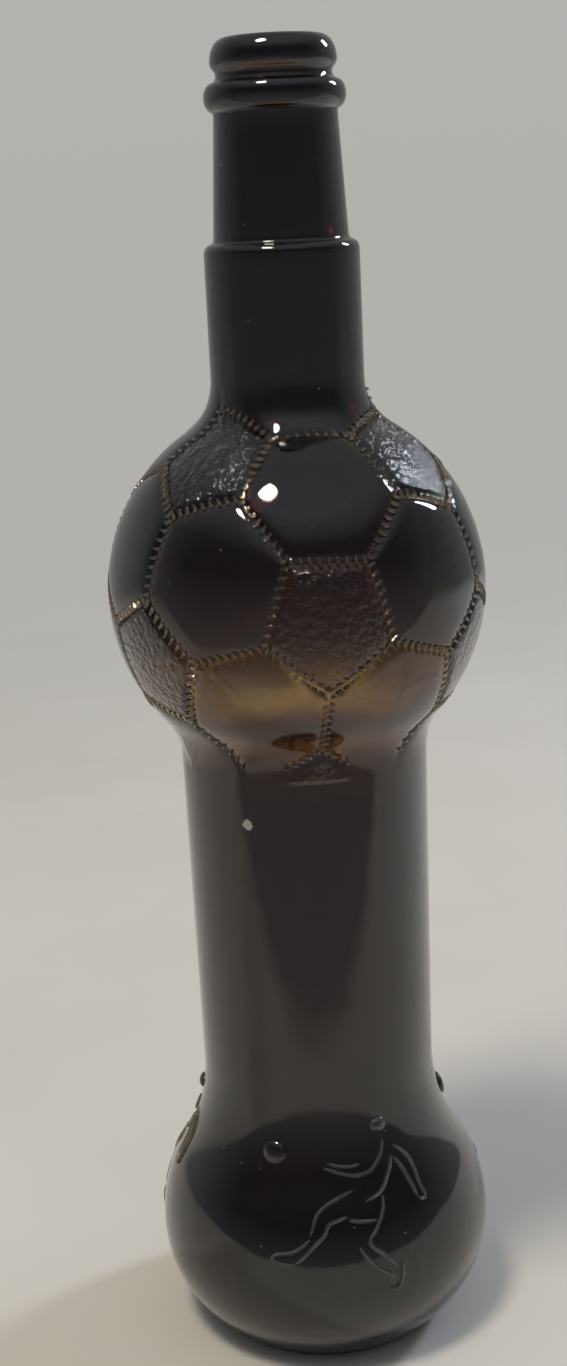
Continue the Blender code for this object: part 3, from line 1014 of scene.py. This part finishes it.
# %% [markdown]
# ## Stitches
# Each seam of the ball carries a row of small moulded bars that stand for its thread. There are
# several hundred, all alike, so Geometry Nodes place them: a curve follows each seam, it is divided
# at the thread spacing, and one small bar is set on every point, square to the surface and leaning a
# little like a turn of rope. The bar is thinner in its middle, where the two panels meet.

# %% Geometry Nodes helpers
def new_tree(name, sizes):
    """A geometry tree with a Geometry input, one named number input for each size, and a Geometry output."""
    tree = bpy.data.node_groups.new(name, "GeometryNodeTree")
    tree.interface.new_socket("Geometry", in_out="INPUT", socket_type="NodeSocketGeometry")
    for label, value in sizes.items():
        kind = "NodeSocketInt" if isinstance(value, int) else "NodeSocketFloat"
        tree.interface.new_socket(label, in_out="INPUT", socket_type=kind)
    tree.interface.new_socket("Material", in_out="INPUT", socket_type="NodeSocketMaterial")
    tree.interface.new_socket("Geometry", in_out="OUTPUT", socket_type="NodeSocketGeometry")
    return tree, tree.nodes.new("NodeGroupInput"), tree.nodes.new("NodeGroupOutput")

def run_tree(name, source, tree, sizes):
    """Run a tree on a source mesh, keep its result as a plain mesh and drop the modifier."""
    carrier = bpy.data.objects.new(name + "_source", source)
    bpy.context.scene.collection.objects.link(carrier)
    modifier = carrier.modifiers.new("Nodes", "NODES")
    modifier.node_group = tree
    sockets = {item.name: item.identifier for item in tree.interface.items_tree if item.in_out == "INPUT"}
    for label, value in sizes.items():
        modifier[sockets[label]] = value
    modifier[sockets["Material"]] = GLASS
    graph = bpy.context.evaluated_depsgraph_get()
    mesh = bpy.data.meshes.new_from_object(carrier.evaluated_get(graph), depsgraph=graph)
    bpy.data.objects.remove(carrier, do_unlink=True)
    mesh.attributes.remove(mesh.attributes["outward"])
    mesh.name = name
    piece = bpy.data.objects.new(name, mesh)
    bpy.context.scene.collection.objects.link(piece)
    print(name, len(mesh.polygons), "faces")
    return piece

def lines_mesh(name, lines):
    """A mesh of separate lines, each a list of (point, outward) in metres, that keeps the directions."""
    points, edges, outward = [], [], []
    for line in lines:
        first = len(points)
        points += [point for point, _ in line]
        outward += [normal for _, normal in line]
        edges += [(first + i, first + i + 1) for i in range(len(line) - 1)]
    mesh = bpy.data.meshes.new(name)
    mesh.from_pydata(points, edges, [])
    layer = mesh.attributes.new("outward", "FLOAT_VECTOR", "POINT")
    layer.data.foreach_set("vector", [value for normal in outward for value in normal])
    return mesh

# %% Seam lines
SEAM_INSET = 0.055
SEAM_POINTS = 16
STITCH_SUNK = 0.24
RUN_OUT_SUNK = 0.45
CUT_ROOM = 2.5

def seam_lines():
    """A line along each seam, a little below the panels' surface, clear of the corners and the cuts."""
    seen, lines = set(), []
    for _, ring in PANELS:
        for corner, following in zip(ring, ring[1:] + ring[:1]):
            key = tuple(round(value, 3) for value in (corner + following))
            if key in seen:
                continue
            seen.add(key)
            line = []
            for step in range(SEAM_POINTS + 1):
                share = SEAM_INSET + (1.0 - 2.0 * SEAM_INSET) * step / SEAM_POINTS
                direction = corner.lerp(following, share).normalized()
                distance = reach(direction)
                height = direction.z * distance
                if distance < 2.0 * BALL_RADIUS and FOOT_CUT + CUT_ROOM < height < TOP_CUT - CUT_ROOM:
                    sunk = STITCH_SUNK * fade_at(height) + RUN_OUT_SUNK * (1.0 - fade_at(height))
                    point = direction * (distance - sunk) + Vector((0.0, 0.0, BALL_Z))
                    line.append((point * MM, direction))
            if len(line) > 2:
                lines.append(line)
    return lines

# %% Stitch tree
# The bars' crests are painted pale by the wear amount: partly scuffing, partly a painted highlight
STITCHES = {
    "Spacing": 2.0 * MM, "Bar Length": 2.9 * MM, "Bar Radius": 0.5 * MM,
    "Lean": math.radians(16.0), "Wear And Sheen": 0.14, "Seed": 7,
}
BAR_POINTS = 7
BAR_SIDES = 6
BAR_BLUNTNESS = 0.42
NIP_NARROWNESS = -28.0
NIP_DEPTH = -0.3
LEAN_SPREAD = (0.6, 1.4)
SIZE_SPREAD = (0.88, 1.04)

def stitch_tree():
    tree, inputs, outputs = new_tree("seam_stitches", STITCHES)
    value = inputs.outputs

    # One bar across the seam, along Y, with a nipped middle
    half = add_node(tree, "ShaderNodeMath", {0: value["Bar Length"], 1: 0.5}, operation="MULTIPLY")
    other = add_node(tree, "ShaderNodeMath", {0: value["Bar Length"], 1: -0.5}, operation="MULTIPLY")
    start = add_node(tree, "ShaderNodeCombineXYZ", {"Y": other.outputs[0]})
    end = add_node(tree, "ShaderNodeCombineXYZ", {"Y": half.outputs[0]})
    line = add_node(
        tree, "GeometryNodeCurvePrimitiveLine", {"Start": start.outputs[0], "End": end.outputs[0]}
    )
    line = add_node(tree, "GeometryNodeResampleCurve", {"Curve": line.outputs[0], "Count": BAR_POINTS})
    along = add_node(tree, "GeometryNodeSplineParameter")
    centred = add_node(
        tree, "ShaderNodeMath", {0: along.outputs["Factor"], 1: 2.0, 2: -1.0}, operation="MULTIPLY_ADD"
    )
    square = add_node(
        tree, "ShaderNodeMath", {0: centred.outputs[0], 1: centred.outputs[0]}, operation="MULTIPLY"
    )
    round_off = add_node(
        tree, "ShaderNodeMath", {0: square.outputs[0], 1: -1.0, 2: 1.02}, operation="MULTIPLY_ADD"
    )
    rounded = add_node(
        tree, "ShaderNodeMath", {0: round_off.outputs[0], 1: BAR_BLUNTNESS}, operation="POWER"
    )
    narrow = add_node(
        tree, "ShaderNodeMath", {0: square.outputs[0], 1: NIP_NARROWNESS}, operation="MULTIPLY"
    )
    notch = add_node(tree, "ShaderNodeMath", {0: narrow.outputs[0]}, operation="EXPONENT")
    nipped = add_node(
        tree, "ShaderNodeMath", {0: notch.outputs[0], 1: NIP_DEPTH, 2: 1.0}, operation="MULTIPLY_ADD"
    )
    radius = add_node(
        tree, "ShaderNodeMath", {0: rounded.outputs[0], 1: nipped.outputs[0]}, operation="MULTIPLY"
    )
    radius = add_node(
        tree, "ShaderNodeMath", {0: radius.outputs[0], 1: value["Bar Radius"]}, operation="MULTIPLY"
    )
    circle = add_node(tree, "GeometryNodeCurvePrimitiveCircle", {"Resolution": BAR_SIDES, "Radius": 1.0})
    bar = add_node(
        tree, "GeometryNodeCurveToMesh",
        {
            "Curve": line.outputs[0], "Profile Curve": circle.outputs[0], "Scale": radius.outputs[0],
            "Fill Caps": True,
        },
    )

    # A point at each stitch, turned to stand square on the seam
    seams = add_node(tree, "GeometryNodeMeshToCurve", {"Mesh": value["Geometry"]})
    seams = add_node(
        tree, "GeometryNodeResampleCurve",
        {"Curve": seams.outputs[0], "Length": value["Spacing"]},
        mode="LENGTH",
    )
    tangent = add_node(tree, "GeometryNodeInputTangent")
    outward = add_node(tree, "GeometryNodeInputNamedAttribute", {"Name": "outward"}, data_type="FLOAT_VECTOR")
    turn = add_node(
        tree, "FunctionNodeAxesToRotation",
        {"Primary Axis": outward.outputs[0], "Secondary Axis": tangent.outputs[0]},
        primary_axis="Z", secondary_axis="X",
    )
    lean_least = add_node(tree, "ShaderNodeMath", {0: value["Lean"], 1: LEAN_SPREAD[0]}, operation="MULTIPLY")
    lean_most = add_node(tree, "ShaderNodeMath", {0: value["Lean"], 1: LEAN_SPREAD[1]}, operation="MULTIPLY")
    lean = add_node(
        tree, "FunctionNodeRandomValue",
        {2: lean_least.outputs[0], 3: lean_most.outputs[0], "Seed": value["Seed"]},
        data_type="FLOAT",
    )
    about = add_node(tree, "ShaderNodeCombineXYZ", {"Z": lean.outputs[1]})
    leant = add_node(tree, "FunctionNodeEulerToRotation", {0: about.outputs[0]})
    turn = add_node(
        tree, "FunctionNodeRotateRotation",
        {"Rotation": turn.outputs[0], "Rotate By": leant.outputs[0]},
        rotation_space="LOCAL",
    )
    size = add_node(
        tree, "FunctionNodeRandomValue",
        {2: SIZE_SPREAD[0], 3: SIZE_SPREAD[1], "Seed": value["Seed"]},
        data_type="FLOAT",
    )
    placed = add_node(
        tree, "GeometryNodeInstanceOnPoints",
        {
            "Points": seams.outputs[0], "Instance": bar.outputs[0], "Rotation": turn.outputs[0],
            "Scale": size.outputs[1],
        },
    )
    # Mark each bar for its pale crest: partly wear, partly painted highlight
    worn_and_sheen = add_node(
        tree, "GeometryNodeStoreNamedAttribute",
        {"Geometry": placed.outputs[0], "Name": "worn_and_sheen", "Value": value["Wear And Sheen"]},
        data_type="FLOAT", domain="INSTANCE",
    )
    real = add_node(tree, "GeometryNodeRealizeInstances", {"Geometry": worn_and_sheen.outputs[0]})
    smooth = add_node(tree, "GeometryNodeSetShadeSmooth", {"Geometry": real.outputs[0], "Shade Smooth": True})
    dressed = add_node(
        tree, "GeometryNodeSetMaterial", {"Geometry": smooth.outputs[0], "Material": value["Material"]}
    )
    tree.links.new(dressed.outputs[0], outputs.inputs["Geometry"])
    return tree

stitches = run_tree("seam_stitches", lines_mesh("seam_lines", seam_lines()), stitch_tree(), STITCHES)

# %% [markdown]
# ## A player in relief
# The base carries a small raised drawing of a player kicking a ball, repeated round the bottle. On
# the mould it is a shallow engraved line, so it comes out as a rounded ridge about 1 mm wide. Each
# stroke is given by angles and heights on the base. It becomes a smooth curve on the glass, and
# Geometry Nodes sweep a round profile along it that tapers at both ends, half of it in the glass.

# %% Strokes of the figure
FIGURE_COPIES = 3
STROKE_RISE = 0.12
STROKES = (
    (
        (27.5, 59.2), (26.6, 57.3), (24.2, 55.2), (19.5, 53.0),
        (14.0, 52.5), (9.0, 52.9), (3.5, 54.0), (-0.6, 54.9),
    ),
    ((0.6, 55.9), (5.5, 55.0), (11.0, 54.6), (15.2, 54.9)),
    ((30.2, 55.0), (28.6, 52.9), (26.0, 50.9), (23.8, 49.2), (21.0, 47.9), (17.6, 47.3), (15.2, 46.9)),
    (
        (32.4, 57.2), (35.4, 55.6), (38.2, 53.6), (39.5, 50.6),
        (39.4, 47.4), (39.9, 44.4), (38.0, 43.9), (36.4, 44.9),
    ),
    ((31.2, 54.6), (33.4, 52.4), (35.0, 49.6), (35.9, 47.0), (36.3, 45.2)),
    (
        (22.3, 47.4), (21.4, 45.0), (19.6, 42.9), (17.0, 40.6), (14.3, 38.4),
        (15.6, 36.6), (18.4, 35.0), (21.0, 33.0), (23.2, 31.2),
    ),
    ((25.1, 31.9), (25.2, 29.0), (23.9, 26.4), (21.8, 25.2), (20.0, 25.7)),
    ((10.6, 37.5), (12.4, 35.2), (14.8, 32.9), (18.0, 30.8), (21.2, 29.0), (21.6, 27.3)),
    ((7.6, 43.7), (11.0, 43.1), (14.6, 42.8), (18.2, 42.7)),
    ((10.6, 49.5), (6.6, 48.7), (2.4, 47.7), (-1.2, 46.5), (-4.0, 44.9), (-5.2, 42.7), (-6.2, 40.9)),
    (
        (-6.6, 39.8), (-9.6, 37.9), (-13.4, 36.6), (-16.6, 36.3),
        (-19.0, 35.7), (-18.8, 34.3), (-15.4, 33.7), (-11.8, 33.9),
    ),
    (
        (-11.2, 34.2), (-8.4, 35.9), (-6.0, 37.7), (-3.4, 39.3),
        (-1.0, 41.0), (0.4, 43.0), (3.8, 43.7), (7.4, 44.4),
    ),
)

ABOVE_RING = 2.0
SLOPE_SPAN = 0.5
BASE_OUTLINE = np.array(sorted((z, r) for r, z in waist_outline() if r > RING_RADIUS and z > ABOVE_RING))

def base_radius(z):
    return float(np.interp(z, BASE_OUTLINE[:, 0], BASE_OUTLINE[:, 1]))

def on_base(angle, z, rise=0.0):
    """Point and outward direction on the base, in mm, at an angle from the front and a height."""
    slope = base_radius(z + SLOPE_SPAN) - base_radius(z - SLOPE_SPAN)
    a = math.radians(angle)
    flat = Vector((math.sin(a), -math.cos(a), 0.0))
    outward = (flat - Vector((0.0, 0.0, slope))).normalized()
    return flat * base_radius(z) + Vector((0.0, 0.0, z)) + outward * rise, outward

def smooth_stroke(points, per_span=6):
    """Catmull-Rom points through a stroke's angles and heights."""
    path = np.array([points[0], *points, points[-1]], float)
    out = []
    for i in range(1, len(path) - 2):
        for t in np.linspace(0.0, 1.0, per_span, endpoint=False):
            a, b, c, d = path[i - 1:i + 3]
            bend = (2 * a - 5 * b + 4 * c - d) * t**2
            out.append(0.5 * (2 * b + (c - a) * t + bend + (3 * b - a - 3 * c + d) * t**3))
    out.append(path[-2])
    return out

def figure_lines():
    lines = []
    for copy in range(FIGURE_COPIES):
        for stroke in STROKES:
            line = []
            for angle, z in smooth_stroke(stroke):
                point, outward = on_base(angle + copy * 360.0 / FIGURE_COPIES, z, STROKE_RISE)
                line.append((point * MM, outward))
            lines.append(line)
    return lines

# %% Ridge tree
# The ridges' crests are painted pale by the wear amount: partly scuffing, partly a painted highlight
RIDGES = {"Radius": 0.5 * MM, "Step": 0.85 * MM, "Wear And Sheen": 0.2}
RIDGE_SIDES = 8
TAPER_POWER = 8.0
TAPER_BY = -0.72

def ridge_tree():
    tree, inputs, outputs = new_tree("relief_ridges", RIDGES)
    value = inputs.outputs
    line = add_node(tree, "GeometryNodeMeshToCurve", {"Mesh": value["Geometry"]})
    line = add_node(
        tree, "GeometryNodeResampleCurve", {"Curve": line.outputs[0], "Length": value["Step"]}, mode="LENGTH"
    )
    along = add_node(tree, "GeometryNodeSplineParameter")
    centred = add_node(
        tree, "ShaderNodeMath", {0: along.outputs["Factor"], 1: 2.0, 2: -1.0}, operation="MULTIPLY_ADD"
    )
    power = add_node(tree, "ShaderNodeMath", {0: centred.outputs[0], 1: TAPER_POWER}, operation="POWER")
    taper = add_node(
        tree, "ShaderNodeMath", {0: power.outputs[0], 1: TAPER_BY, 2: 1.0}, operation="MULTIPLY_ADD"
    )
    radius = add_node(tree, "ShaderNodeMath", {0: taper.outputs[0], 1: value["Radius"]}, operation="MULTIPLY")
    circle = add_node(tree, "GeometryNodeCurvePrimitiveCircle", {"Resolution": RIDGE_SIDES, "Radius": 1.0})
    ridge = add_node(
        tree, "GeometryNodeCurveToMesh",
        {
            "Curve": line.outputs[0], "Profile Curve": circle.outputs[0], "Scale": radius.outputs[0],
            "Fill Caps": True,
        },
    )
    # Mark each ridge for its pale crest: partly wear, partly painted highlight
    worn_and_sheen = add_node(
        tree, "GeometryNodeStoreNamedAttribute",
        {"Geometry": ridge.outputs[0], "Name": "worn_and_sheen", "Value": value["Wear And Sheen"]},
        data_type="FLOAT", domain="POINT",
    )
    real = add_node(tree, "GeometryNodeRealizeInstances", {"Geometry": worn_and_sheen.outputs[0]})
    smooth = add_node(tree, "GeometryNodeSetShadeSmooth", {"Geometry": real.outputs[0], "Shade Smooth": True})
    dressed = add_node(
        tree, "GeometryNodeSetMaterial", {"Geometry": smooth.outputs[0], "Material": value["Material"]}
    )
    tree.links.new(dressed.outputs[0], outputs.inputs["Geometry"])
    return tree

ridges = run_tree("player_relief", lines_mesh("figure_lines", figure_lines()), ridge_tree(), RIDGES)

# %% Head and kicked ball
PEBBLE_SIDES = 24
PEBBLE_RINGS = 12
# Each dome is painted pale by its wear amount: partly scuffing, partly a painted highlight
PEBBLES = {
    "head": dict(angle=26.4, z=63.1, half_width=2.2, half_height=1.9, rise=1.2, wear_and_sheen=0.15),
    "kicked_ball": dict(angle=-22.6, z=58.0, half_width=3.05, half_height=3.05, rise=1.3, wear_and_sheen=0.02),
}

def make_pebble(name, angle, z, half_width, half_height, rise, wear_and_sheen):
    """A low dome on the base, one in each copy of the figure, sunk so that it closes below the glass."""
    bm = bmesh.new()
    for copy in range(FIGURE_COPIES):
        middle, outward = on_base(angle + copy * 360.0 / FIGURE_COPIES, z)
        across = Vector((0.0, 0.0, 1.0)).cross(outward).normalized()
        up = outward.cross(across)
        dome = bmesh.ops.create_uvsphere(bm, u_segments=PEBBLE_SIDES, v_segments=PEBBLE_RINGS, radius=1.0)
        for vert in dome["verts"]:
            x, y, h = vert.co
            vert.co = middle + across * x * half_width + up * y * half_height + outward * (h * rise)
    piece = make_object(name, bm)
    piece.data.materials.append(GLASS)
    worn_and_sheen = piece.data.attributes.new("worn_and_sheen", "FLOAT", "POINT")
    worn_and_sheen.data.foreach_set("value", [wear_and_sheen] * len(piece.data.vertices))
    return piece

pebbles = [make_pebble(f"{name}_relief", **sizes) for name, sizes in PEBBLES.items()]

# %% [markdown]
# ## One piece of glass
# Stitches, ridges, head and ball aren't stuck on: the mould shaped them out of the same wall. A
# Boolean union welds them to the body, so light passes from one into the other with no skin between
# them. Edges sharper than the limit stay crisp, and the rest is shaded smooth.

# %% Weld the relief on
CREASE = math.radians(38.0)

def weld(target, addition):
    """Union a closed mesh into the target and drop the addition."""
    union = target.modifiers.new("Weld", "BOOLEAN")
    union.operation = "UNION"
    union.solver = "MANIFOLD"
    union.object = addition
    graph = bpy.context.evaluated_depsgraph_get()
    mesh = bpy.data.meshes.new_from_object(target.evaluated_get(graph), depsgraph=graph)
    target.modifiers.clear()
    old = target.data
    target.data = mesh
    bpy.data.meshes.remove(old)
    bpy.data.objects.remove(addition, do_unlink=True)

for addition in (stitches, ridges, *pebbles):
    name = addition.name
    weld(bottle, addition)
    print(name, "welded on:", len(bottle.data.polygons), "faces")
bottle.data.materials.clear()
bottle.data.materials.append(GLASS)
bottle.data.set_sharp_from_angle(angle=CREASE)
triangles = sum(len(face.vertices) - 2 for face in bottle.data.polygons)
print("body:", triangles, "triangles")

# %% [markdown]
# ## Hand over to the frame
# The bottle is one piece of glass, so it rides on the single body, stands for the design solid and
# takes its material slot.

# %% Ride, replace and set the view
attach(bottle, "root")
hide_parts("glass_bottle")

bpy.context.scene.view_settings.view_transform = "Standard"
